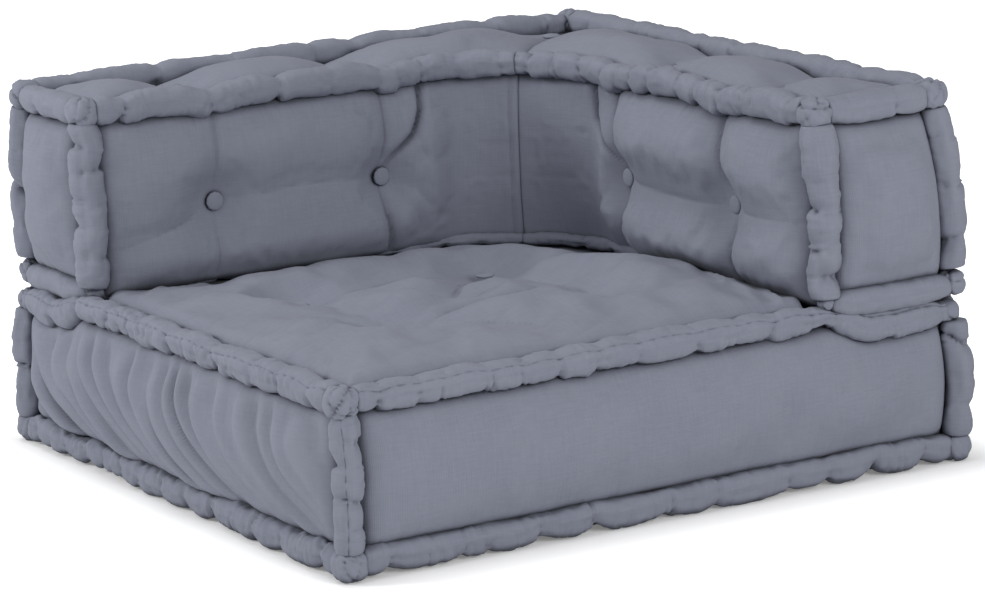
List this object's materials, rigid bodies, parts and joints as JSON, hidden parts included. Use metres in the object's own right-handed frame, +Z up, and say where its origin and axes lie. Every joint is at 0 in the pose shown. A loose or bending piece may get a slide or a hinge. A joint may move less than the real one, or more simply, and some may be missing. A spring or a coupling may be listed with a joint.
{
  "type": "modular sofa",
  "caption": "Square floor-sofa corner module: tufted seat mattress with an L-shaped tufted back mattress, both with rolled and gathered edges.",
  "frame": {"origin": "centre of the seat's square footprint, on the floor", "axes": "+Z up; the arms of the back stand along +Y (rear) and +X (right); the free corner of the seat points to -X and -Y"},
  "size_m": [0.7, 0.7, 0.3733],
  "materials": {
    "cotton_cover": "matt plain-weave cotton",
    "covered_button": "matt cotton over a disc",
    "tufting_twine": "waxed cotton twine",
    "cotton_filling": "cotton and foam filling"
  },
  "bodies": {
    "seat_mattress": {"seat_border_front": "cotton_cover", "seat_border_left": "cotton_cover", "seat_border_rear": "cotton_cover", "seat_border_right": "cotton_cover", "seat_bottom_buttons": "covered_button", "seat_bottom_panel": "cotton_cover", "seat_bottom_roll_front": "cotton_cover", "seat_bottom_roll_left": "cotton_cover", "seat_bottom_roll_rear": "cotton_cover", "seat_bottom_roll_right": "cotton_cover", "seat_core": "cotton_filling", "seat_corner_knots": "cotton_cover", "seat_corner_roll_front_left": "cotton_cover", "seat_corner_roll_front_right": "cotton_cover", "seat_corner_roll_rear_left": "cotton_cover", "seat_corner_roll_rear_right": "cotton_cover", "seat_top_buttons": "covered_button", "seat_top_panel": "cotton_cover", "seat_top_roll_front": "cotton_cover", "seat_top_roll_left": "cotton_cover", "seat_top_roll_rear": "cotton_cover", "seat_top_roll_right": "cotton_cover", "seat_tufting_twines": "tufting_twine"},
    "back_mattress": {"back_bottom_buttons": "covered_button", "back_bottom_panel": "cotton_cover", "back_bottom_roll_end_front": "cotton_cover", "back_bottom_roll_end_left": "cotton_cover", "back_bottom_roll_inner_rear": "cotton_cover", "back_bottom_roll_inner_right": "cotton_cover", "back_bottom_roll_outer_rear": "cotton_cover", "back_bottom_roll_outer_right": "cotton_cover", "back_core": "cotton_filling", "back_corner_knots": "cotton_cover", "back_corner_roll_front_right": "cotton_cover", "back_corner_roll_inner_front": "cotton_cover", "back_corner_roll_inner_left": "cotton_cover", "back_corner_roll_rear_left": "cotton_cover", "back_corner_roll_rear_right": "cotton_cover", "back_end_panel_front": "cotton_cover", "back_end_panel_left": "cotton_cover", "back_face_buttons": "covered_button", "back_face_panel_rear": "cotton_cover", "back_face_panel_right": "cotton_cover", "back_outer_buttons": "covered_button", "back_outer_panel_rear": "cotton_cover", "back_outer_panel_right": "cotton_cover", "back_top_buttons": "covered_button", "back_top_panel": "cotton_cover", "back_top_roll_end_front": "cotton_cover", "back_top_roll_end_left": "cotton_cover", "back_top_roll_inner_rear": "cotton_cover", "back_top_roll_inner_right": "cotton_cover", "back_top_roll_outer_rear": "cotton_cover", "back_top_roll_outer_right": "cotton_cover", "back_tufting_twines": "tufting_twine"}
  },
  "joints": [
    {"name": "back_lift", "type": "slide", "parent": "seat_mattress", "child": "back_mattress", "axis": [0, 0, 1], "range_m": [0, 0.3]}
  ]
}
